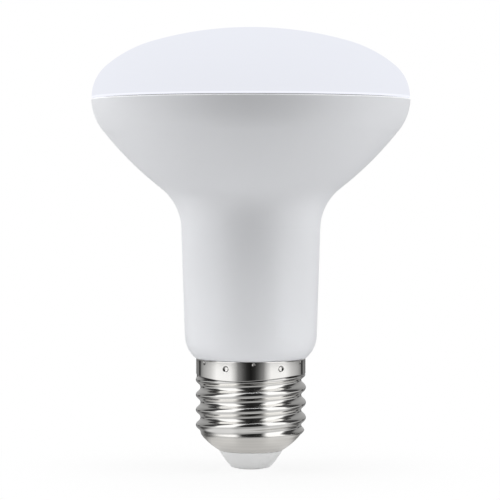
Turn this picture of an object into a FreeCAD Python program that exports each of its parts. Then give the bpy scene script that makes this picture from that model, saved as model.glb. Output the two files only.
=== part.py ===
"""Reflector bulb: an LED reflector lamp with a domed opal diffuser and an E27 screw cap.

The lamp stands on its tip. Z runs up the lamp's axis and z = 0 is the outer face of the
centre contact. The front is towards -Y. Every outline is drawn in the XZ plane as
(radius, height) and turned about Z. All sizes are in millimetres, all angles in degrees.
"""
import FreeCAD
import Part
import math
import os

# Diffuser
LAMP_RADIUS = 38.1
WIDEST_HEIGHT = 88.8
EDGE_ROUND = 9.9
EDGE_END_ANGLE = 50.2
BROW_ROUND = 29.6
BROW_END_ANGLE = 73.8
DIFFUSER_WALL = 1.6
SKIRT_WALL = 1.4
SKIRT_CLEARANCE = 0.1

# Seam between diffuser and housing
SEAM_DROP = 0.27
SEAM_GAP = 0.2
SEAM_EDGE_ROUND = 0.2
RIM_PROUD = 0.12

# Housing
RIM_WALL = 1.8
RIM_DEPTH = 5.0
SHOULDER_ROUND = 12.6
SHOULDER_END_ANGLE = 38.0
FLANK_ROUND = 79.6
THROAT_ROUND = 12.5
NECK_OVERHANG = 2.56
NECK_TAPER = 1.8
FOOT_ROUND = 7.2
FOOT_OVERHANG = 0.25
FOOT_GAP = 0.1
COLLAR_CLEARANCE = 0.05
COLLAR_LENGTH = 12.0
COLLAR_CHAMFER = 1.0

# Screw shell, E27
SHEET = 0.3
CAP_TOP_HEIGHT = 26.5
BAND_RADIUS = 13.1
THREAD_PROUD = 0.1
THREAD_DEPTH = 1.1
THREAD_PITCH = 3.629
CREST_HEIGHT_AT_X = 19.45
ROUNDNESS = 0.05
BAND_HEIGHT = 4.2
RUN_IN_LENGTH = 1.1
RUN_OUT_DROP = 1.4
RUN_OUT_LENGTH = 1.9
TAPER_TOP_HEIGHT = 9.2
TAPER_EDGE_ROUND = 2.5
TAPER_START_ANGLE = 42.0
TAPER_ROUND = 17.0
SHELL_MOUTH_RADIUS = 7.7

# Crimps in the band
CRIMPS = 12
CRIMP_PHASE = 3.0
UPPER_CRIMP_DROP = 0.7
UPPER_CRIMP_WIDTH = 0.8
UPPER_CRIMP_DEPTH = 0.12
LOWER_CRIMP_DROP = 1.8
LOWER_CRIMP_WIDTH = 1.6
LOWER_CRIMP_DEPTH = 0.35

# Insulator
INSULATOR_FACE_HEIGHT = 0.25
INSULATOR_RIM = 1.1
INSULATOR_FACE_ROUND = 0.7
INSULATOR_BULGE = 0.15
INSULATOR_SEAT_HEIGHT = 2.2
INSULATOR_CLEARANCE = 0.05

# Centre contact
CONTACT_RADIUS = 3.45
CONTACT_THICKNESS = 0.6
CONTACT_EDGE_ROUND = 0.15
SHANK_RADIUS = 1.2
SHANK_PROUD = 1.6
CONTACT_CLEARANCE = 0.05

# Derived values
AXIS_BASE = FreeCAD.Vector(0, 0, 0)
UP = FreeCAD.Vector(0, 0, 1)
SEAM_HEIGHT = WIDEST_HEIGHT - SEAM_DROP
DOME_RADIUS = LAMP_RADIUS - RIM_PROUD
LIP_HEIGHT = SEAM_HEIGHT + SEAM_GAP / 2
RIM_HEIGHT = SEAM_HEIGHT - SEAM_GAP / 2
WELL_RADIUS = LAMP_RADIUS - RIM_WALL
WELL_FLOOR_HEIGHT = RIM_HEIGHT - RIM_DEPTH
SKIRT_RADIUS = WELL_RADIUS - SKIRT_CLEARANCE
NECK_RADIUS = BAND_RADIUS + NECK_OVERHANG
BAND_BORE_RADIUS = BAND_RADIUS - SHEET
THREAD_CREST_RADIUS = BAND_RADIUS + THREAD_PROUD
THREAD_ROOT_RADIUS = THREAD_CREST_RADIUS - THREAD_DEPTH
COLLAR_RADIUS = BAND_BORE_RADIUS - COLLAR_CLEARANCE
PLUG_RADIUS = THREAD_ROOT_RADIUS - SHEET - COLLAR_CLEARANCE
COLLAR_END_HEIGHT = CAP_TOP_HEIGHT - COLLAR_LENGTH
RUN_IN_TOP = CAP_TOP_HEIGHT - BAND_HEIGHT
RUN_OUT_END = TAPER_TOP_HEIGHT - RUN_OUT_DROP
PLUG_TOP_HEIGHT = RUN_IN_TOP + SHEET
FOOT_HEIGHT = CAP_TOP_HEIGHT + FOOT_GAP
FOOT_RADIUS = BAND_RADIUS + FOOT_OVERHANG
TAPER_EDGE_CENTRE = (THREAD_ROOT_RADIUS - TAPER_EDGE_ROUND, TAPER_TOP_HEIGHT)
INSULATOR_FACE_RADIUS = CONTACT_RADIUS + CONTACT_CLEARANCE + INSULATOR_RIM


def polar(centre, radius, angle):
    """Point at a radius from a centre, with the angle measured upwards from straight out."""
    turn = math.radians(angle)
    return (centre[0] + radius * math.cos(turn), centre[1] + radius * math.sin(turn))


def vector(point):
    """Outline point (radius, height) as a vector in the XZ plane."""
    return FreeCAD.Vector(point[0], 0, point[1])


def line(start, end):
    """Straight edge of an outline."""
    return Part.makeLine(vector(start), vector(end))


def path(*points):
    """Straight edges through a row of outline points."""
    return [line(start, end) for start, end in zip(points, points[1:])]


def arc(centre, radius, start_angle, end_angle):
    """Round edge of an outline about a centre."""
    middle_angle = (start_angle + end_angle) / 2
    points = [polar(centre, radius, angle) for angle in (start_angle, middle_angle, end_angle)]
    return Part.Arc(*[vector(point) for point in points]).toShape()


def bulged(start, end, bulge):
    """Round edge between two outline points that stands off their chord, to the right of it."""
    length = math.dist(start, end)
    across = (end[1] - start[1]) * bulge / length
    down = (start[0] - end[0]) * bulge / length
    middle = ((start[0] + end[0]) / 2 + across, (start[1] + end[1]) / 2 + down)
    return Part.Arc(vector(start), vector(middle), vector(end)).toShape()


def turned(edges):
    """Solid made by turning a closed outline about the lamp's axis."""
    return Part.Face(Part.Wire(edges)).revolve(AXIS_BASE, UP, 360)


def circle_edges(solid, radius, height):
    """Circular edges of a turned solid at one radius and height."""
    found = []
    for edge in solid.Edges:
        box = edge.BoundBox
        level = abs(box.ZMax - height) < 1e-4 and box.ZLength < 1e-4
        if level and abs(box.XMax - radius) < 1e-4 and abs(box.XMin + radius) < 1e-4:
            found.append(edge)
    return found


TAPER_CENTRE = polar(
    polar(TAPER_EDGE_CENTRE, TAPER_EDGE_ROUND, -TAPER_START_ANGLE), -TAPER_ROUND, -TAPER_START_ANGLE
)
SHELL_MOUTH_ANGLE = math.degrees(math.acos((SHELL_MOUTH_RADIUS - TAPER_CENTRE[0]) / TAPER_ROUND))
SHELL_MOUTH_HEIGHT = polar(TAPER_CENTRE, TAPER_ROUND, -SHELL_MOUTH_ANGLE)[1]
INSULATOR_TOP_HEIGHT = SHELL_MOUTH_HEIGHT + INSULATOR_SEAT_HEIGHT
SHANK_TOP_HEIGHT = INSULATOR_TOP_HEIGHT + SHANK_PROUD


def dome_edges(inset, foot_angle):
    """Dome outline from its foot to the axis, moved inwards by the inset."""
    edge_centre = (DOME_RADIUS - EDGE_ROUND, WIDEST_HEIGHT)
    edge_end = polar(edge_centre, EDGE_ROUND, EDGE_END_ANGLE)
    brow_centre = polar(edge_end, -BROW_ROUND, EDGE_END_ANGLE)
    brow_end = polar(brow_centre, BROW_ROUND, BROW_END_ANGLE)
    crown_round = brow_end[0] / math.cos(math.radians(BROW_END_ANGLE))
    crown_centre = polar(brow_end, -crown_round, BROW_END_ANGLE)
    return [
        arc(edge_centre, EDGE_ROUND - inset, foot_angle, EDGE_END_ANGLE),
        arc(brow_centre, BROW_ROUND - inset, EDGE_END_ANGLE, BROW_END_ANGLE),
        arc(crown_centre, crown_round - inset, BROW_END_ANGLE, 90),
    ]


def diffuser():
    """Opal dome with a lip on the seam and a skirt that stands on the floor of the rim's well."""
    lip_top_height = LIP_HEIGHT + SEAM_EDGE_ROUND
    lip_angle = math.degrees(math.asin((lip_top_height - WIDEST_HEIGHT) / EDGE_ROUND))
    outside = dome_edges(0, lip_angle)
    inside = dome_edges(DIFFUSER_WALL, 0)
    lip_centre = (outside[0].Vertexes[0].X - SEAM_EDGE_ROUND, lip_top_height)
    lip = [arc(lip_centre, SEAM_EDGE_ROUND, -90, 0)]
    bore_radius = SKIRT_RADIUS - SKIRT_WALL
    dome_bore_radius = DOME_RADIUS - DIFFUSER_WALL
    foot = path(
        (dome_bore_radius, WIDEST_HEIGHT),
        (bore_radius, WIDEST_HEIGHT - (dome_bore_radius - bore_radius)),
        (bore_radius, WELL_FLOOR_HEIGHT),
        (SKIRT_RADIUS, WELL_FLOOR_HEIGHT),
        (SKIRT_RADIUS, LIP_HEIGHT),
        (lip_centre[0], LIP_HEIGHT),
    )
    top = line((0, outside[-1].BoundBox.ZMax), (0, inside[-1].BoundBox.ZMax))
    return turned(foot + lip + outside + [top] + inside)


def neck_radius_at(height):
    """Radius of the neck's tapered wall, which is NECK_RADIUS where the cap begins."""
    return NECK_RADIUS + math.tan(math.radians(NECK_TAPER)) * (height - CAP_TOP_HEIGHT)


def centre_beside_neck(offset, point, distance, side):
    """Centre that lies an offset outside the neck's wall and a distance from a point.

    Side is 1 for the upper of the two answers and -1 for the lower one.
    """
    slope = math.tan(math.radians(NECK_TAPER))
    radius = neck_radius_at(point[1]) + offset / math.cos(math.radians(NECK_TAPER)) - point[0]
    square = 1 + slope ** 2
    rise = (-slope * radius + side * math.sqrt(square * distance ** 2 - radius ** 2)) / square
    return (point[0] + radius + slope * rise, point[1] + rise)


def housing_outside():
    """Outside of the housing: shoulder, flank, throat, neck and rounded foot, from the rim down."""
    shoulder_centre = (LAMP_RADIUS - SHOULDER_ROUND, WIDEST_HEIGHT)
    rim_drop = WIDEST_HEIGHT - RIM_HEIGHT + SEAM_EDGE_ROUND
    rim_angle = math.degrees(math.asin(rim_drop / SHOULDER_ROUND))
    shoulder_end = polar(shoulder_centre, SHOULDER_ROUND, -SHOULDER_END_ANGLE)
    flank_centre = polar(shoulder_end, -FLANK_ROUND, -SHOULDER_END_ANGLE)
    throat_centre = centre_beside_neck(THROAT_ROUND, flank_centre, FLANK_ROUND + THROAT_ROUND, -1)
    drop = flank_centre[1] - throat_centre[1]
    flank_end_angle = math.degrees(math.atan2(drop, throat_centre[0] - flank_centre[0]))
    foot_centre = centre_beside_neck(-FOOT_ROUND, (FOOT_RADIUS, FOOT_HEIGHT), FOOT_ROUND, 1)
    drop = foot_centre[1] - FOOT_HEIGHT
    foot_angle = math.degrees(math.atan2(drop, FOOT_RADIUS - foot_centre[0]))
    neck_top = polar(throat_centre, THROAT_ROUND, 180 - NECK_TAPER)
    neck_end = polar(foot_centre, FOOT_ROUND, -NECK_TAPER)
    return [
        arc(shoulder_centre, SHOULDER_ROUND, -rim_angle, -SHOULDER_END_ANGLE),
        arc(flank_centre, FLANK_ROUND, -SHOULDER_END_ANGLE, -flank_end_angle),
        arc(throat_centre, THROAT_ROUND, 180 - flank_end_angle, 180 - NECK_TAPER),
        line(neck_top, neck_end),
        arc(foot_centre, FOOT_ROUND, -NECK_TAPER, -foot_angle),
    ]


def housing():
    """Moulded housing with the diffuser's well at the rim and the cap's collar at the foot."""
    outside = housing_outside()
    rim_start = outside[0].Vertexes[0].Point
    rim_centre = (rim_start.x - SEAM_EDGE_ROUND, rim_start.z)
    rim = [arc(rim_centre, SEAM_EDGE_ROUND, 90, 0)]
    collar = path(
        (FOOT_RADIUS, FOOT_HEIGHT),
        (COLLAR_RADIUS, FOOT_HEIGHT),
        (COLLAR_RADIUS, PLUG_TOP_HEIGHT),
        (PLUG_RADIUS, PLUG_TOP_HEIGHT),
        (PLUG_RADIUS, COLLAR_END_HEIGHT + COLLAR_CHAMFER),
        (PLUG_RADIUS - COLLAR_CHAMFER, COLLAR_END_HEIGHT),
        (0, COLLAR_END_HEIGHT),
        (0, WELL_FLOOR_HEIGHT),
        (WELL_RADIUS, WELL_FLOOR_HEIGHT),
        (WELL_RADIUS, RIM_HEIGHT),
        (rim_centre[0], RIM_HEIGHT),
    )
    body = turned(rim + outside + collar)
    for index in range(CRIMPS):
        body = body.cut(crimp_ball(index, SHEET + COLLAR_CLEARANCE))
    return body


def crimp_ball(index, growth):
    """Ball that presses one crimp into the band; upper and lower crimps take turns."""
    upper = index % 2 == 0
    drop = UPPER_CRIMP_DROP if upper else LOWER_CRIMP_DROP
    width = UPPER_CRIMP_WIDTH if upper else LOWER_CRIMP_WIDTH
    depth = UPPER_CRIMP_DEPTH if upper else LOWER_CRIMP_DEPTH
    ball_radius = ((width / 2) ** 2 + depth ** 2) / (2 * depth)
    reach = BAND_RADIUS - depth + ball_radius
    turn = math.radians(CRIMP_PHASE - 90 + index * 360 / CRIMPS)
    centre = FreeCAD.Vector(
        reach * math.cos(turn), reach * math.sin(turn), CAP_TOP_HEIGHT - drop
    )
    return Part.makeSphere(ball_radius + growth, centre)


def ease(share):
    """Smooth step from 0 to 1."""
    share = max(0.0, min(1.0, share))
    return share * share * (3 - 2 * share)


def taper_radius(height):
    """Radius of the shell's cone: plain wall, rounded edge, then the long curve to the mouth."""
    edge_end_height = polar(TAPER_EDGE_CENTRE, TAPER_EDGE_ROUND, -TAPER_START_ANGLE)[1]
    if height >= TAPER_TOP_HEIGHT:
        return THREAD_ROOT_RADIUS
    if height >= edge_end_height:
        drop = TAPER_EDGE_CENTRE[1] - height
        return TAPER_EDGE_CENTRE[0] + math.sqrt(TAPER_EDGE_ROUND ** 2 - drop ** 2)
    drop = TAPER_CENTRE[1] - height
    return TAPER_CENTRE[0] + math.sqrt(TAPER_ROUND ** 2 - drop ** 2)


def thread_radius(turn, height):
    """Radius of the endless right-hand thread, a wave with rounded crests and roots."""
    phase = 2 * math.pi * (height - CREST_HEIGHT_AT_X) / THREAD_PITCH - turn
    wave = (1 + ROUNDNESS) * math.cos(phase) - ROUNDNESS * math.cos(3 * phase)
    middle = (THREAD_CREST_RADIUS + THREAD_ROOT_RADIUS) / 2
    return middle + wave * (THREAD_CREST_RADIUS - THREAD_ROOT_RADIUS) / 2


def outer_radius(turn, height):
    """Outside of the screw shell, where the thread runs in from the band and out on the cone."""
    thread = thread_radius(turn, height)
    band_share = ease((height - RUN_IN_TOP + RUN_IN_LENGTH) / RUN_IN_LENGTH)
    thread_share = ease((height - RUN_OUT_END) / RUN_OUT_LENGTH)
    plain = taper_radius(height)
    lower = plain + thread_share * (thread - plain)
    return lower + band_share * (BAND_RADIUS - lower)


def inner_radius(turn, height):
    """Inside of the screw shell, one sheet's thickness from the outside."""
    step = 0.02
    above = outer_radius(turn, height + step)
    below = outer_radius(turn, height - step)
    slope = (above - below) / (2 * step)
    return outer_radius(turn, height) - SHEET * math.sqrt(1 + slope ** 2)


def spread(count):
    """Evenly spread curve parameters from 0 to 1."""
    return [index / (count - 1) for index in range(count)]


def wall_face(radius_at):
    """Smooth closed wall through its radius as a function of turn and height."""
    columns = 16
    rise = CAP_TOP_HEIGHT - SHELL_MOUTH_HEIGHT
    rows = round(rise / (THREAD_PITCH / 10)) + 1
    rings = []
    for share in spread(rows):
        height = SHELL_MOUTH_HEIGHT + rise * share
        points = []
        for column in range(columns):
            turn = 2 * math.pi * column / columns
            radius = radius_at(turn, height)
            points.append(FreeCAD.Vector(radius * math.cos(turn), radius * math.sin(turn), height))
        ring = Part.BSplineCurve()
        ring.interpolate(Points=points, PeriodicFlag=True, Parameters=spread(columns + 1))
        rings.append(ring)
    poles = []
    for column_poles in zip(*[ring.getPoles() for ring in rings]):
        rail = Part.BSplineCurve()
        rail.interpolate(Points=list(column_poles), Parameters=spread(rows))
        poles.append(rail.getPoles())
    surface = Part.BSplineSurface()
    surface.buildFromPolesMultsKnots(
        poles,
        rings[0].getMultiplicities(),
        rail.getMultiplicities(),
        rings[0].getKnots(),
        rail.getKnots(),
        True,
        False,
        ring.Degree,
        rail.Degree,
    )
    return surface.toShape()


def ring_face(walls, height):
    """Flat ring that closes the outer and inner walls at one end."""
    wires = []
    for wall in walls:
        for edge in wall.Edges:
            box = edge.BoundBox
            if box.ZLength < 1e-4 and abs(box.ZMax - height) < 1e-4:
                wires.append(Part.Wire(edge))
    ring = Part.Face(wires)
    ring.validate()
    return ring


def screw_shell():
    """Rolled sheet shell: band with crimps, thread, cone and mouth."""
    walls = [wall_face(outer_radius), wall_face(inner_radius)]
    rings = [ring_face(walls, SHELL_MOUTH_HEIGHT), ring_face(walls, CAP_TOP_HEIGHT)]
    skin = Part.Shell(walls + rings)
    skin.sewShape()
    shell = Part.Solid(skin)
    if shell.Volume < 0:
        shell.reverse()
    bore = Part.makeCylinder(BAND_RADIUS - SHEET / 2, CAP_TOP_HEIGHT)
    for index in range(CRIMPS):
        shell = shell.fuse(crimp_ball(index, SHEET).common(bore))
        shell = shell.cut(crimp_ball(index, 0))
    return shell


def insulator():
    """Moulded cone that fills the shell's mouth and carries the centre contact in a pocket."""
    seat_round = TAPER_ROUND - SHEET - INSULATOR_CLEARANCE
    seat_angle = math.degrees(math.asin((TAPER_CENTRE[1] - SHELL_MOUTH_HEIGHT) / seat_round))
    seat_top_angle = math.degrees(math.asin((TAPER_CENTRE[1] - INSULATOR_TOP_HEIGHT) / seat_round))
    seat_foot = polar(TAPER_CENTRE, seat_round, -seat_angle)
    seat_top = polar(TAPER_CENTRE, seat_round, -seat_top_angle)
    ledge_height = SHELL_MOUTH_HEIGHT - INSULATOR_CLEARANCE
    ledge_radius = SHELL_MOUTH_RADIUS - INSULATOR_CLEARANCE
    pocket_radius = CONTACT_RADIUS + CONTACT_CLEARANCE
    bore_radius = SHANK_RADIUS + CONTACT_CLEARANCE
    edges = [arc(TAPER_CENTRE, seat_round, -seat_angle, -seat_top_angle)]
    edges += path(
        seat_top,
        (bore_radius, INSULATOR_TOP_HEIGHT),
        (bore_radius, CONTACT_THICKNESS),
        (pocket_radius, CONTACT_THICKNESS),
        (pocket_radius, INSULATOR_FACE_HEIGHT),
        (INSULATOR_FACE_RADIUS, INSULATOR_FACE_HEIGHT),
    )
    edges.append(
        bulged(
            (INSULATOR_FACE_RADIUS, INSULATOR_FACE_HEIGHT), (ledge_radius, ledge_height), INSULATOR_BULGE
        )
    )
    edges += path((ledge_radius, ledge_height), (seat_foot[0], ledge_height), seat_foot)
    cone = turned(edges)
    face_edge = circle_edges(cone, INSULATOR_FACE_RADIUS, INSULATOR_FACE_HEIGHT)
    return cone.makeFillet(INSULATOR_FACE_ROUND, face_edge)


def centre_contact():
    """Metal disc with a shank through the insulator."""
    head = Part.makeCylinder(CONTACT_RADIUS, CONTACT_THICKNESS)
    head = head.makeFillet(CONTACT_EDGE_ROUND, circle_edges(head, CONTACT_RADIUS, 0))
    shank = Part.makeCylinder(SHANK_RADIUS, SHANK_TOP_HEIGHT)
    return head.fuse(shank).removeSplitter()


def main():
    """Write one STEP file for each piece."""
    os.makedirs("parts", exist_ok=True)
    pieces = {
        "diffuser": diffuser(),
        "housing": housing(),
        "screw_shell": screw_shell(),
        "insulator": insulator(),
        "centre_contact": centre_contact(),
    }
    for name, shape in pieces.items():
        shape.exportStep("parts/" + name + ".step")
        print(name, shape.isValid(), len(shape.Solids), round(shape.Volume, 2))


main()
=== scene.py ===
import bpy
import math
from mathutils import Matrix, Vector


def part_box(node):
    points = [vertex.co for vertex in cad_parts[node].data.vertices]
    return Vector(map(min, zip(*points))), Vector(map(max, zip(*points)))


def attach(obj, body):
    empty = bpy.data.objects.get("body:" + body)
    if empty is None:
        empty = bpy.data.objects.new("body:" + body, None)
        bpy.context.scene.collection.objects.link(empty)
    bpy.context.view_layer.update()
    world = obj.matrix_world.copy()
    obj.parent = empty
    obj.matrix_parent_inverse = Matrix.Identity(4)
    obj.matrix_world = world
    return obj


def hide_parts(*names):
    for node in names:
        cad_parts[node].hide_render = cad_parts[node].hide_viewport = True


# Sizes are in metres. Angles are in degrees, but a turn that a function takes is in radians.
MM = 0.001
FRONT = -90.0

# Seam between diffuser and housing, with painted highlights along the edges on its two sides, and
# painted light that makes the dome glow evenly above it
WIDEST_HEIGHT = 88.8 * MM
SEAM_DROP = 0.27 * MM
SEAM_GAP = 0.2 * MM
SEAM_HEIGHT = WIDEST_HEIGHT - SEAM_DROP
LIP_HEIGHT = SEAM_HEIGHT + SEAM_GAP / 2
LIP_EDGE = 0.4 * MM
RIM_HEIGHT = SEAM_HEIGHT - SEAM_GAP / 2
RIM_EDGE = 0.25 * MM
DOME_PAINTED_LIGHT = 1.11
DOME_PAINTED_LIGHT_START = LIP_HEIGHT - SEAM_GAP / 10
DOME_PAINTED_LIGHT_END = 1.0
DOME_SOFT = 0.02 * MM
LIP_PAINTED_HIGHLIGHT = 0.15
RIM_PAINTED_HIGHLIGHT = 0.22
EDGE_SOFT = 0.05 * MM
GRAIN_DEPTH = 0.02 * MM

# Screw shell, E27: thread, cone and smooth band
SHEET = 0.3 * MM
BAND_RADIUS = 13.1 * MM
BAND_HEIGHT = 4.2 * MM
THREAD_CREST_RADIUS = 13.2 * MM
THREAD_ROOT_RADIUS = 12.1 * MM
THREAD_PITCH = 3.629 * MM
CREST_HEIGHT_AT_X = 19.45 * MM
ROUNDNESS = 0.05
RUN_IN_LENGTH = 1.1 * MM
RUN_OUT_DROP = 1.4 * MM
RUN_OUT_LENGTH = 1.9 * MM
TAPER_TOP_HEIGHT = 9.2 * MM
TAPER_EDGE_ROUND = 2.5 * MM
TAPER_START_ANGLE = 42.0
TAPER_ROUND = 17.0 * MM
SATIN_START_HEIGHT = TAPER_TOP_HEIGHT + 0.2 * MM
SATIN_FULL_HEIGHT = TAPER_TOP_HEIGHT - 1.2 * MM

# Lower edge of the band: the crease below it with its painted shade, and the edge's dip at the
# front
CREASE_ABOVE = 0.05 * MM
CREASE_BELOW = 0.4 * MM
CREASE_DEPTH = 0.12 * MM
CREASE_PAINTED_SHADE = 0.85
BAND_DIP = 0.5 * MM
BAND_DIP_TURN = -18.0
BAND_DIP_SPREAD = 80.0
BAND_DIP_REACH = 3.0 * MM

# Crimps in the band, shallow and deep ones by turns, with painted shade round their edges
CRIMPS = 12
CRIMP_PHASE = 3.0
CRIMP_FLAT = 0.5
CRIMP_PAINTED_SHADE = 0.5
UPPER_CRIMP = {"drop": 0.7 * MM, "width": 0.8 * MM, "depth": 0.12 * MM}
LOWER_CRIMP = {"drop": 1.8 * MM, "width": 1.6 * MM, "depth": 0.35 * MM}

# Mesh of the screw shell: columns round it and the height of a row in each zone
SHELL_COLUMNS = 600
CONE_ROW = 0.25 * MM
THREAD_ROW = 0.14 * MM
CREASE_ROW = 0.05 * MM
BAND_ROW = 0.11 * MM

# Stage: a floor that glows a little less near the lamp, a dim world, and the reflected room
FLOOR_HALF = 60.0
FLOOR_GLOW_NEAR = 0.88
FLOOR_FADE_START = 0.012
FLOOR_FADE_END = 0.07
WORLD_LIGHT = 0.02
ROOM_RADIUS = 0.45
ROOM_HEIGHT = 0.6
ROOM_FLOOR_HEIGHT = 0.2 * MM
ROOM_FLOOR_HOLE = 4 * MM
ROOM_CEILING_HOLE = 1 * MM
ROOM_COLUMNS = 96

# Camera, fitted to the outline of the lamp in the photograph
CAMERA_DISTANCE = 0.5527
CAMERA_HEIGHT = 0.07054
CAMERA_TILT = 1.886
CAMERA_SIDE = -0.0002
LENS_MM = 166.2
SENSOR_MM = 36.0


def ease(share):
    """Smooth step from 0 to 1."""
    share = max(0.0, min(1.0, share))
    return share * share * (3 - 2 * share)


# Node helpers


def new_material(name):
    """Material with an empty node tree and an output."""
    material = bpy.data.materials.new(name)
    material.use_nodes = True
    tree = material.node_tree
    tree.nodes.clear()
    output = tree.nodes.new("ShaderNodeOutputMaterial")
    return material, tree, output


def add(tree, kind, values=None, **settings):
    """New node with its settings and socket values."""
    node = tree.nodes.new(kind)
    for key, value in settings.items():
        setattr(node, key, value)
    for key, value in (values or {}).items():
        node.inputs[key].default_value = value
    return node


def join(tree, source, target):
    """Link an output socket to an input socket."""
    tree.links.new(source, target)


def own_place(tree):
    """Position in the object's own coordinates."""
    return add(tree, "ShaderNodeTexCoord").outputs["Object"]


def own_axis(tree, name):
    """X, Y or Z of the position in the object's own coordinates."""
    parts = add(tree, "ShaderNodeSeparateXYZ")
    join(tree, own_place(tree), parts.inputs["Vector"])
    return parts.outputs[name]


def own_distance(tree):
    """Distance from the object's own origin."""
    length = add(tree, "ShaderNodeVectorMath", operation="LENGTH")
    join(tree, own_place(tree), length.inputs[0])
    return length.outputs["Value"]


def calculate(tree, operation, first, second=None):
    """Result of a Math node, whose inputs are sockets or numbers."""
    node = add(tree, "ShaderNodeMath", operation=operation)
    for value, target in zip((first, second), node.inputs):
        if isinstance(value, (int, float)):
            target.default_value = value
        elif value is not None:
            join(tree, value, target)
    return node.outputs[0]


def noise(tree, scale, detail=3.0):
    """Noise texture in the object's own coordinates."""
    texture = add(tree, "ShaderNodeTexNoise", {"Scale": scale, "Detail": detail, "Roughness": 0.5})
    join(tree, own_place(tree), texture.inputs["Vector"])
    return texture.outputs["Fac"]


def remap(tree, value, low, high, start=0.0, end=1.0, shape="LINEAR"):
    """Value between start and end turned into one between low and high, and held beyond."""
    limits = {"From Min": start, "From Max": end, "To Min": low, "To Max": high}
    node = add(tree, "ShaderNodeMapRange", limits, interpolation_type=shape)
    join(tree, value, node.inputs["Value"])
    return node.outputs["Result"]


def height_band(tree, low, high, soft):
    """1 between two heights and 0 beyond them, with soft limits."""
    height = own_axis(tree, "Z")
    above = remap(tree, height, 0.0, 1.0, low - soft, low + soft)
    below = remap(tree, height, 0.0, 1.0, high + soft, high - soft)
    return calculate(tree, "MULTIPLY", above, below)


def blend(tree, share, first, second):
    """First colour where the share is 0, second where it is 1. A colour is a socket or a tuple."""
    node = add(tree, "ShaderNodeMix", data_type="RGBA")
    join(tree, share, node.inputs["Factor"])
    for colour, target in ((first, node.inputs["A"]), (second, node.inputs["B"])):
        if isinstance(colour, tuple):
            target.default_value = (*colour, 1.0)
        else:
            join(tree, colour, target)
    return node.outputs["Result"]


def add_grain(tree, shader, grain, strength):
    """Fine bumps on a shader."""
    node = add(tree, "ShaderNodeBump", {"Strength": strength, "Distance": GRAIN_DEPTH})
    join(tree, grain, node.inputs["Height"])
    join(tree, node.outputs["Normal"], shader.inputs["Normal"])


def add_clouds(tree, shader, clouds, colours, roughness):
    """Colour and roughness of a shader that vary between two of each with clouds of noise."""
    join(tree, blend(tree, clouds, *colours), shader.inputs["Base Color"])
    join(tree, remap(tree, clouds, *roughness), shader.inputs["Roughness"])


# Materials


def opal_plastic():
    """Opal plastic of the diffuser, which lets some light through. Its glow is painted light: an
    even glow over the dome, and a painted highlight along the lip.
    """
    material, tree, output = new_material("opal_plastic")
    shader = add(tree, "ShaderNodeBsdfPrincipled", {"IOR": 1.5, "Specular IOR Level": 0.0})
    # Painted light: the dome glows evenly in place of the studio light that falls on it and
    # scatters through it.
    dome = height_band(tree, DOME_PAINTED_LIGHT_START, DOME_PAINTED_LIGHT_END, DOME_SOFT)
    # Painted highlight: a thin glowing band along the lip's rounded edge.
    lip = height_band(tree, LIP_HEIGHT, LIP_HEIGHT + LIP_EDGE, EDGE_SOFT)
    dome_painted_light = calculate(tree, "MULTIPLY", dome, DOME_PAINTED_LIGHT)
    glow = calculate(tree, "ADD", dome_painted_light, remap(tree, lip, 0.0, LIP_PAINTED_HIGHLIGHT))
    join(tree, glow, shader.inputs["Emission Strength"])
    shader.inputs["Emission Color"].default_value = (0.915, 0.93, 1.0, 1.0)
    colours = ((0.060, 0.063, 0.066), (0.070, 0.073, 0.076))
    add_clouds(tree, shader, noise(tree, 60.0), colours, (0.36, 0.42))
    add_grain(tree, shader, noise(tree, 3500.0, 2.0), 0.05)
    through = add(tree, "ShaderNodeBsdfTranslucent", {"Color": (0.11, 0.115, 0.12, 1.0)})
    body = add(tree, "ShaderNodeMixShader", {"Fac": 0.25})
    join(tree, shader.outputs["BSDF"], body.inputs[1])
    join(tree, through.outputs["BSDF"], body.inputs[2])
    join(tree, body.outputs["Shader"], output.inputs["Surface"])
    return material


def white_plastic():
    """Satin white moulded plastic of the housing, with a painted highlight along the edge at the
    rim.
    """
    material, tree, output = new_material("white_plastic")
    shader = add(tree, "ShaderNodeBsdfPrincipled", {"IOR": 1.5})
    shader.inputs["Emission Color"].default_value = (1.0, 1.0, 1.0, 1.0)
    # Painted highlight: a thin glowing band along the rim's rounded edge.
    rim = height_band(tree, RIM_HEIGHT - RIM_EDGE, RIM_HEIGHT, EDGE_SOFT)
    join(tree, remap(tree, rim, 0.0, RIM_PAINTED_HIGHLIGHT), shader.inputs["Emission Strength"])
    colours = ((0.785, 0.795, 0.82), (0.80, 0.81, 0.835))
    add_clouds(tree, shader, noise(tree, 45.0), colours, (0.40, 0.46))
    add_grain(tree, shader, noise(tree, 4000.0, 2.0), 0.06)
    join(tree, shader.outputs["BSDF"], output.inputs["Surface"])
    return material


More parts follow.
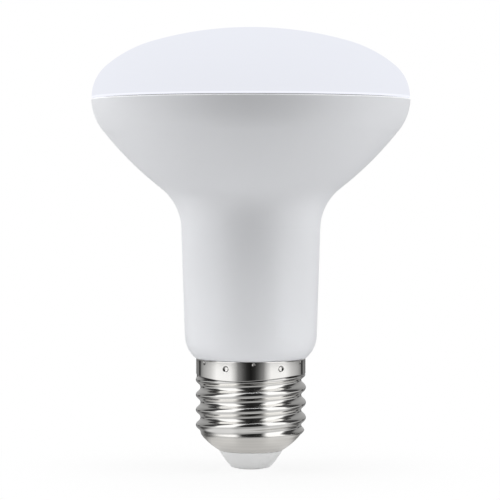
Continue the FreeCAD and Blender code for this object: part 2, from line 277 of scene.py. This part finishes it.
def plated_metal():
    """Bright nickel plate that turns satin on the cone, with painted shade in the crease and round
    the crimps.
    """
    material, tree, output = new_material("plated_metal")
    shader = add(tree, "ShaderNodeBsdfPrincipled", {"Metallic": 1.0})
    height = own_axis(tree, "Z")
    cone = remap(tree, height, 0.0, 1.0, SATIN_START_HEIGHT, SATIN_FULL_HEIGHT)
    level = add(tree, "ShaderNodeCombineXYZ")
    join(tree, height, level.inputs["Z"])
    rings = add(tree, "ShaderNodeTexNoise", {"Scale": 1500.0, "Detail": 2.0})
    join(tree, level.outputs["Vector"], rings.inputs["Vector"])
    spun = blend(tree, rings.outputs["Fac"], (0.64, 0.62, 0.59), (0.93, 0.91, 0.87))
    plate = blend(tree, cone, (0.86, 0.85, 0.83), spun)
    # Painted shade from the mesh: nearly black in the crease below the band and round the crimps.
    painted_shade = add(tree, "ShaderNodeAttribute", attribute_name="painted_shade").outputs["Fac"]
    join(tree, blend(tree, painted_shade, plate, (0.05, 0.05, 0.05)), shader.inputs["Base Color"])
    clouds = noise(tree, 500.0)
    roughness = add(tree, "ShaderNodeMix")
    join(tree, cone, roughness.inputs["Factor"])
    join(tree, remap(tree, clouds, 0.05, 0.08), roughness.inputs["A"])
    join(tree, remap(tree, clouds, 0.30, 0.38), roughness.inputs["B"])
    join(tree, roughness.outputs["Result"], shader.inputs["Roughness"])
    add_grain(tree, shader, noise(tree, 1800.0, 2.0), 0.04)
    join(tree, shader.outputs["BSDF"], output.inputs["Surface"])
    return material


def pale_insulator():
    """Pale moulded insulator of the cap."""
    material, tree, output = new_material("pale_insulator")
    shader = add(tree, "ShaderNodeBsdfPrincipled", {"IOR": 1.5})
    colours = ((0.90, 0.905, 0.905), (0.93, 0.935, 0.935))
    add_clouds(tree, shader, noise(tree, 300.0), colours, (0.45, 0.55))
    add_grain(tree, shader, noise(tree, 2500.0, 2.0), 0.03)
    join(tree, shader.outputs["BSDF"], output.inputs["Surface"])
    return material


def contact_metal():
    """Dull turned metal of the centre contact."""
    material, tree, output = new_material("contact_metal")
    shader = add(tree, "ShaderNodeBsdfPrincipled", {"Metallic": 1.0})
    grain = noise(tree, 1200.0, 4.0)
    colours = ((0.50, 0.49, 0.47), (0.60, 0.59, 0.56))
    add_clouds(tree, shader, grain, colours, (0.32, 0.48))
    add_grain(tree, shader, grain, 0.1)
    join(tree, shader.outputs["BSDF"], output.inputs["Surface"])
    return material


# Meshes


def mesh_object(name, vertices, faces, material):
    """Smooth mesh object with one material."""
    mesh = bpy.data.meshes.new(name)
    mesh.from_pydata(vertices, [], faces)
    mesh.update()
    mesh.polygons.foreach_set("use_smooth", [True] * len(mesh.polygons))
    mesh.materials.append(material)
    piece = bpy.data.objects.new(name, mesh)
    bpy.context.scene.collection.objects.link(piece)
    return piece


def ring(radius, height, columns):
    """Circle of vertices."""
    turns = [2 * math.pi * column / columns for column in range(columns)]
    return [(radius * math.cos(turn), radius * math.sin(turn), height) for turn in turns]


def ring_faces(rings, columns):
    """Quads that join each of a number of rings of vertices to the next."""
    faces = []
    for first in range(0, (rings - 1) * columns, columns):
        above = first + columns
        for column in range(columns):
            right = (column + 1) % columns
            faces.append((first + column, first + right, above + right, above + column))
    return faces


def rows_between(low, high, step):
    """Heights from low up to, but without, high."""
    count = max(1, math.ceil((high - low) / step))
    return [low + (high - low) * index / count for index in range(count)]


# Screw shell


def thread_radius(turn, height):
    """Radius of the endless right-hand thread, a wave with rounded crests and roots."""
    phase = 2 * math.pi * (height - CREST_HEIGHT_AT_X) / THREAD_PITCH - turn
    wave = (1 + ROUNDNESS) * math.cos(phase) - ROUNDNESS * math.cos(3 * phase)
    middle = (THREAD_CREST_RADIUS + THREAD_ROOT_RADIUS) / 2
    return middle + wave * (THREAD_CREST_RADIUS - THREAD_ROOT_RADIUS) / 2


def taper_radius(height):
    """Radius of the shell's cone: plain wall, rounded edge, then the long curve to the mouth."""
    angle = math.radians(TAPER_START_ANGLE)
    edge_centre = THREAD_ROOT_RADIUS - TAPER_EDGE_ROUND
    edge_end_height = TAPER_TOP_HEIGHT - TAPER_EDGE_ROUND * math.sin(angle)
    if height >= TAPER_TOP_HEIGHT:
        return THREAD_ROOT_RADIUS
    if height >= edge_end_height:
        return edge_centre + math.sqrt(TAPER_EDGE_ROUND ** 2 - (TAPER_TOP_HEIGHT - height) ** 2)
    taper_centre = edge_centre + (TAPER_EDGE_ROUND - TAPER_ROUND) * math.cos(angle)
    drop = edge_end_height + TAPER_ROUND * math.sin(angle) - height
    return taper_centre + math.sqrt(TAPER_ROUND ** 2 - drop ** 2)


def band_lift(turn):
    """How far the band's lower edge lies above its mean height, as the thread runs in there."""
    off = (math.degrees(turn) - FRONT - BAND_DIP_TURN + 180) % 360 - 180
    return BAND_DIP * (2 * ease(abs(off) / BAND_DIP_SPREAD) - 1)


def above_band_edge(turn, height, top):
    """Height above the band's lower edge."""
    return height - top + BAND_HEIGHT - band_lift(turn)


def crease_share(turn, height, top):
    """1 at the bottom of the crease below the band, and 0 beyond its sides."""
    above = above_band_edge(turn, height, top)
    return max(0.0, 1 - above / CREASE_ABOVE if above > 0 else 1 + above / CREASE_BELOW)


def shell_radius(turn, height, top):
    """Outside of the shell: band, crease, thread with its run-in and run-out, cone."""
    thread = thread_radius(turn, height)
    plain = taper_radius(height)
    run_out = (height - TAPER_TOP_HEIGHT + RUN_OUT_DROP) / RUN_OUT_LENGTH
    lower = plain + ease(run_out) * (thread - plain)
    run_in = 1 + above_band_edge(turn, height, top) / (RUN_IN_LENGTH + band_lift(turn))
    crease = CREASE_DEPTH * crease_share(turn, height, top)
    return lower + ease(run_in) * (BAND_RADIUS - lower) - crease


def crimp_press(turn, height, top):
    """Share of a crimp's depth that is reached at a place, and that depth."""
    step = 2 * math.pi / CRIMPS
    first = math.radians(FRONT + CRIMP_PHASE)
    index = round((turn - first) / step)
    crimp = UPPER_CRIMP if index % 2 == 0 else LOWER_CRIMP
    across = (turn - first - index * step) * BAND_RADIUS
    along = height - top + crimp["drop"]
    share = math.hypot(across, along) / (crimp["width"] / 2)
    return 1 - ease((share - CRIMP_FLAT) / (1 - CRIMP_FLAT)), crimp["depth"]


def shell_wall(bottom, top):
    """Vertices of the shell's outside row by row, the painted shade at each, and the number of
    rows.
    """
    band_bottom = top - BAND_HEIGHT
    run_out_bottom = TAPER_TOP_HEIGHT - RUN_OUT_DROP
    heights = rows_between(bottom, run_out_bottom, CONE_ROW)
    heights += rows_between(run_out_bottom, band_bottom - CREASE_BELOW, THREAD_ROW)
    heights += rows_between(band_bottom - CREASE_BELOW, band_bottom, CREASE_ROW)
    heights += rows_between(band_bottom, band_bottom + CREASE_ABOVE, CREASE_ABOVE)
    heights += rows_between(band_bottom + CREASE_ABOVE, top - SHEET / 2, BAND_ROW)
    vertices = []
    painted_shade = []
    for level in heights:
        follow = 1 - ease(abs(level - band_bottom) / BAND_DIP_REACH)
        for column in range(SHELL_COLUMNS):
            turn = 2 * math.pi * column / SHELL_COLUMNS
            height = level + band_lift(turn) * follow
            pressed, depth = crimp_press(turn, height, top)
            radius = shell_radius(turn, height, top) - pressed * depth
            vertices.append((radius * math.cos(turn), radius * math.sin(turn), height))
            # Painted shade: the crease below the band and a ring round each crimp's edge are
            # darkened in the colour.
            crimp_edge = 4 * pressed * (1 - pressed)
            crease = crease_share(turn, height, top)
            painted_shade.append(max(CREASE_PAINTED_SHADE * crease, CRIMP_PAINTED_SHADE * crimp_edge))
    return vertices, painted_shade, len(heights)


def screw_shell(material):
    """Rolled shell: mouth, cone, thread, band with crimps and the edge at the top."""
    low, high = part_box("screw_shell")
    bottom, top = low[2], high[2]
    turned_in_radius = taper_radius(bottom) - 2 * SHEET
    mouth_rings = [
        (turned_in_radius, bottom + 2 * SHEET),
        (turned_in_radius, bottom),
        (taper_radius(bottom) - SHEET / 3, bottom),
    ]
    edge = SHEET / 2
    edge_rings = []
    for angle in (0, 30, 60, 90):
        inward = edge * (1 - math.cos(math.radians(angle)))
        upward = edge * math.sin(math.radians(angle))
        edge_rings.append((BAND_RADIUS - inward, top - edge + upward))
    edge_rings.append((BAND_RADIUS - SHEET, top - SHEET))
    wall, wall_painted_shade, wall_rows = shell_wall(bottom, top)
    vertices = []
    for radius, height in mouth_rings:
        vertices += ring(radius, height, SHELL_COLUMNS)
    painted_shade = [0.0] * len(vertices) + wall_painted_shade
    vertices += wall
    for radius, height in edge_rings:
        vertices += ring(radius, height, SHELL_COLUMNS)
    painted_shade += [0.0] * (len(vertices) - len(painted_shade))
    faces = ring_faces(len(mouth_rings) + wall_rows + len(edge_rings), SHELL_COLUMNS)
    piece = mesh_object("screw_shell_skin", vertices, faces, material)
    # The painted shade of each vertex goes with the mesh, for the plate's colour.
    piece.data.attributes.new("painted_shade", "FLOAT", "POINT").data.foreach_set("value", painted_shade)
    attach(piece, "root")
    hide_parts("screw_shell")


def dress_nodes():
    """Materials for the nodes whose solids show."""
    slots = {
        "diffuser": opal_plastic(),
        "housing": white_plastic(),
        "insulator": pale_insulator(),
        "centre_contact": contact_metal(),
    }
    for name, material in slots.items():
        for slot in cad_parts[name].material_slots:
            slot.material = material


# Studio


def seen_directly(tree):
    """1 for camera, glossy and transmission rays, otherwise 0."""
    path = add(tree, "ShaderNodeLightPath").outputs
    direct = calculate(tree, "MAXIMUM", path["Is Camera Ray"], path["Is Glossy Ray"])
    return calculate(tree, "MAXIMUM", direct, path["Is Transmission Ray"])


def studio_world():
    """World that is white to the camera and in reflections, and a soft grey light on surfaces."""
    world = bpy.data.worlds.new("studio")
    bpy.context.scene.world = world
    world.use_nodes = True
    tree = world.node_tree
    tree.nodes.clear()
    output = add(tree, "ShaderNodeOutputWorld")
    white = add(tree, "ShaderNodeBackground", {"Color": (1, 1, 1, 1), "Strength": 1.0})
    soft = add(tree, "ShaderNodeBackground", {"Color": (1, 1, 1, 1), "Strength": WORLD_LIGHT})
    mix = add(tree, "ShaderNodeMixShader")
    join(tree, seen_directly(tree), mix.inputs["Fac"])
    join(tree, soft.outputs["Background"], mix.inputs[1])
    join(tree, white.outputs["Background"], mix.inputs[2])
    join(tree, mix.outputs["Shader"], output.inputs["Surface"])


def studio_floor():
    """Pale floor that looks white and keeps the lamp's shadow."""
    material, tree, output = new_material("studio_floor")
    paint = add(tree, "ShaderNodeBsdfDiffuse", {"Color": (0.85, 0.85, 0.85, 1.0)})
    glow = add(tree, "ShaderNodeEmission", {"Color": (1, 1, 1, 1), "Strength": 1.0})
    limits = (FLOOR_GLOW_NEAR, 1.0, FLOOR_FADE_START, FLOOR_FADE_END)
    fade = remap(tree, own_distance(tree), *limits, "SMOOTHSTEP")
    mix = add(tree, "ShaderNodeMixShader")
    join(tree, calculate(tree, "MULTIPLY", seen_directly(tree), fade), mix.inputs["Fac"])
    join(tree, paint.outputs["BSDF"], mix.inputs[1])
    join(tree, glow.outputs["Emission"], mix.inputs[2])
    join(tree, mix.outputs["Shader"], output.inputs["Surface"])
    # Rays find the wide glowing surfaces by themselves, and sampling them as lamps adds noise.
    material.cycles.emission_sampling = "NONE"
    half = FLOOR_HALF
    corners = [(-half, -half, 0), (half, -half, 0), (half, half, 0), (-half, half, 0)]
    floor = mesh_object("studio_floor", corners, [(0, 1, 2, 3)], material)


def level_around(tree, stops):
    """Light level that depends on the angle from the front, alike on both sides of the lamp."""
    forward = calculate(tree, "MULTIPLY", own_axis(tree, "Y"), -1.0)
    angle = calculate(tree, "ARCTAN2", own_axis(tree, "X"), forward)
    share = calculate(tree, "DIVIDE", calculate(tree, "ABSOLUTE", angle), math.pi)
    ramp = add(tree, "ShaderNodeValToRGB")
    join(tree, share, ramp.inputs["Fac"])
    points = ramp.color_ramp.elements
    while len(points) < len(stops):
        points.new(1.0)
    for point, (degrees, level) in zip(points, stops):
        point.position = degrees / 180
        point.color = (level, level, level, 1.0)
    return ramp.outputs["Color"]


def room_material(name, tones, steps):
    """Glowing paper of the reflected room, whose tones follow each other from the lamp outwards."""
    material, tree, output = new_material(name)
    colour = level_around(tree, tones[0])
    for tone, (low, high) in zip(tones[1:], steps):
        share = remap(tree, own_distance(tree), 0.0, 1.0, low, high, "SMOOTHSTEP")
        colour = blend(tree, share, colour, level_around(tree, tone))
    glow = add(tree, "ShaderNodeEmission", {"Strength": 1.0})
    join(tree, colour, glow.inputs["Color"])
    join(tree, glow.outputs["Emission"], output.inputs["Surface"])
    material.cycles.emission_sampling = "NONE"
    return material


def room_surface(name, rings, material):
    """Surface of revolution about the lamp that only reflections show."""
    vertices = []
    for radius, height in rings:
        vertices += ring(radius, height, ROOM_COLUMNS)
    piece = mesh_object(name, vertices, ring_faces(len(rings), ROOM_COLUMNS), material)
    piece.visible_camera = False
    piece.visible_diffuse = False
    piece.visible_transmission = False
    piece.visible_shadow = False


def reflected_room():
    """Round room that the plated cap reflects.

    Each tone is a row of angles from the front with the level of light there. The far floor
    shows in the upright band, its edge at the band's top, the walls in the thread's upper
    flanks, the near floor in its lower flanks, and the floor under and at the foot of the lamp
    in the cone.
    """
    walls = [(0, 0.015), (22, 0.03), (30, 0.50), (36, 1.20), (74, 1.20), (82, 0.25)]
    walls += [(90, 0.05), (112, 0.05), (125, 0.28), (180, 0.50)]
    under = [(0, 0.58), (180, 0.58)]
    foot = [(0, 0.60), (22, 0.62), (36, 0.80), (90, 0.70), (180, 0.70)]
    near_floor = [(0, 0.38), (24, 0.42), (36, 0.64), (70, 0.64), (92, 0.15), (112, 0.06)]
    near_floor += [(127, 0.25), (180, 0.45)]
    far_floor = [(0, 0.01), (8, 0.03), (15, 0.09), (26, 0.27), (34, 0.70), (42, 1.05)]
    far_floor += [(75, 1.10), (92, 0.70), (116, 0.42), (127, 0.25), (132, 0.02), (137, 0.05)]
    far_floor += [(144, 0.24), (155, 0.22), (166, 0.08), (180, 0.30)]
    far_edge = [(angle, 0.5 * level) for angle, level in far_floor]
    wall_rings = [(ROOM_RADIUS, 0.0), (ROOM_RADIUS, ROOM_HEIGHT), (ROOM_CEILING_HOLE, ROOM_HEIGHT)]
    room_surface("room_walls", wall_rings, room_material("room_walls", [walls], []))
    tones = [under, foot, near_floor, far_floor, far_edge]
    steps = [(0.008, 0.012), (0.015, 0.021), (0.05, 0.09), (0.31, 0.342)]
    floor_rings = [(ROOM_FLOOR_HOLE, ROOM_FLOOR_HEIGHT), (ROOM_RADIUS, ROOM_FLOOR_HEIGHT)]
    room_surface("room_floor", floor_rings, room_material("room_floor", tones, steps))


def softbox(name, place, target, width, height, power, spread=180):
    """Area lamp in watts that points at a target and stays out of reflections."""
    light = bpy.data.lights.new(name, "AREA")
    light.spread = math.radians(spread)
    light.shape = "RECTANGLE"
    light.size = width
    light.size_y = height
    light.energy = power
    lamp = bpy.data.objects.new(name, light)
    lamp.location = place
    lamp.rotation_euler = (Vector(target) - Vector(place)).to_track_quat("-Z", "Y").to_euler()
    lamp.visible_glossy = False
    lamp.visible_camera = False
    bpy.context.scene.collection.objects.link(lamp)


def studio_lamps():
    """Soft lamps at the sides, behind and above, and two narrow ones low in front."""
    middle = (0, 0, 0.06)
    softbox("side_left", (-0.55, -0.05, 0.35), middle, 0.4, 0.3, 1.95)
    softbox("side_right", (0.55, -0.05, 0.35), middle, 0.4, 0.3, 2.15)
    softbox("back_left", (-0.45, 0.32, 0.12), middle, 0.4, 0.6, 1.25)
    softbox("back_right", (0.45, 0.32, 0.12), middle, 0.4, 0.6, 0.4)
    softbox("top", (0, -0.1, 0.7), middle, 0.6, 0.6, 1.9)
    softbox("top_back", (0, 0.3, 0.7), middle, 0.6, 0.6, 1.7)
    softbox("low_narrow", (0, -0.5, 0.02), (0, 0, 0.02), 0.3, 0.02, 0.010, 11.5)
    softbox("low_wide", (0, -0.5, 0.02), (0, 0, 0.03), 0.3, 0.02, 0.0043, 20)


def studio_camera():
    """Camera at the photograph's distance, height and tilt."""
    data = bpy.data.cameras.new("camera")
    data.lens = LENS_MM
    data.sensor_width = SENSOR_MM
    data.clip_start = 0.01
    data.clip_end = 100
    camera = bpy.data.objects.new("camera", data)
    camera.location = (CAMERA_SIDE, -CAMERA_DISTANCE, CAMERA_HEIGHT)
    camera.rotation_euler = (math.radians(90 - CAMERA_TILT), 0, 0)
    bpy.context.scene.collection.objects.link(camera)
    bpy.context.scene.camera = camera


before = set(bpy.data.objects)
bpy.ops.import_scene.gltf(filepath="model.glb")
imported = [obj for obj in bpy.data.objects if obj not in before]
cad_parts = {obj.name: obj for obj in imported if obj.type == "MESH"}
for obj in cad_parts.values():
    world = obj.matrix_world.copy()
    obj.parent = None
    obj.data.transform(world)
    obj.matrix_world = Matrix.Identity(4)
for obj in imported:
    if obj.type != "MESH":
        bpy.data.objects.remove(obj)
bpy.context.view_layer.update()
studio_camera()
studio_world()
studio_floor()
studio_lamps()
reflected_room()
dress_nodes()
screw_shell(plated_metal())
bpy.context.scene.view_settings.view_transform = "Standard"
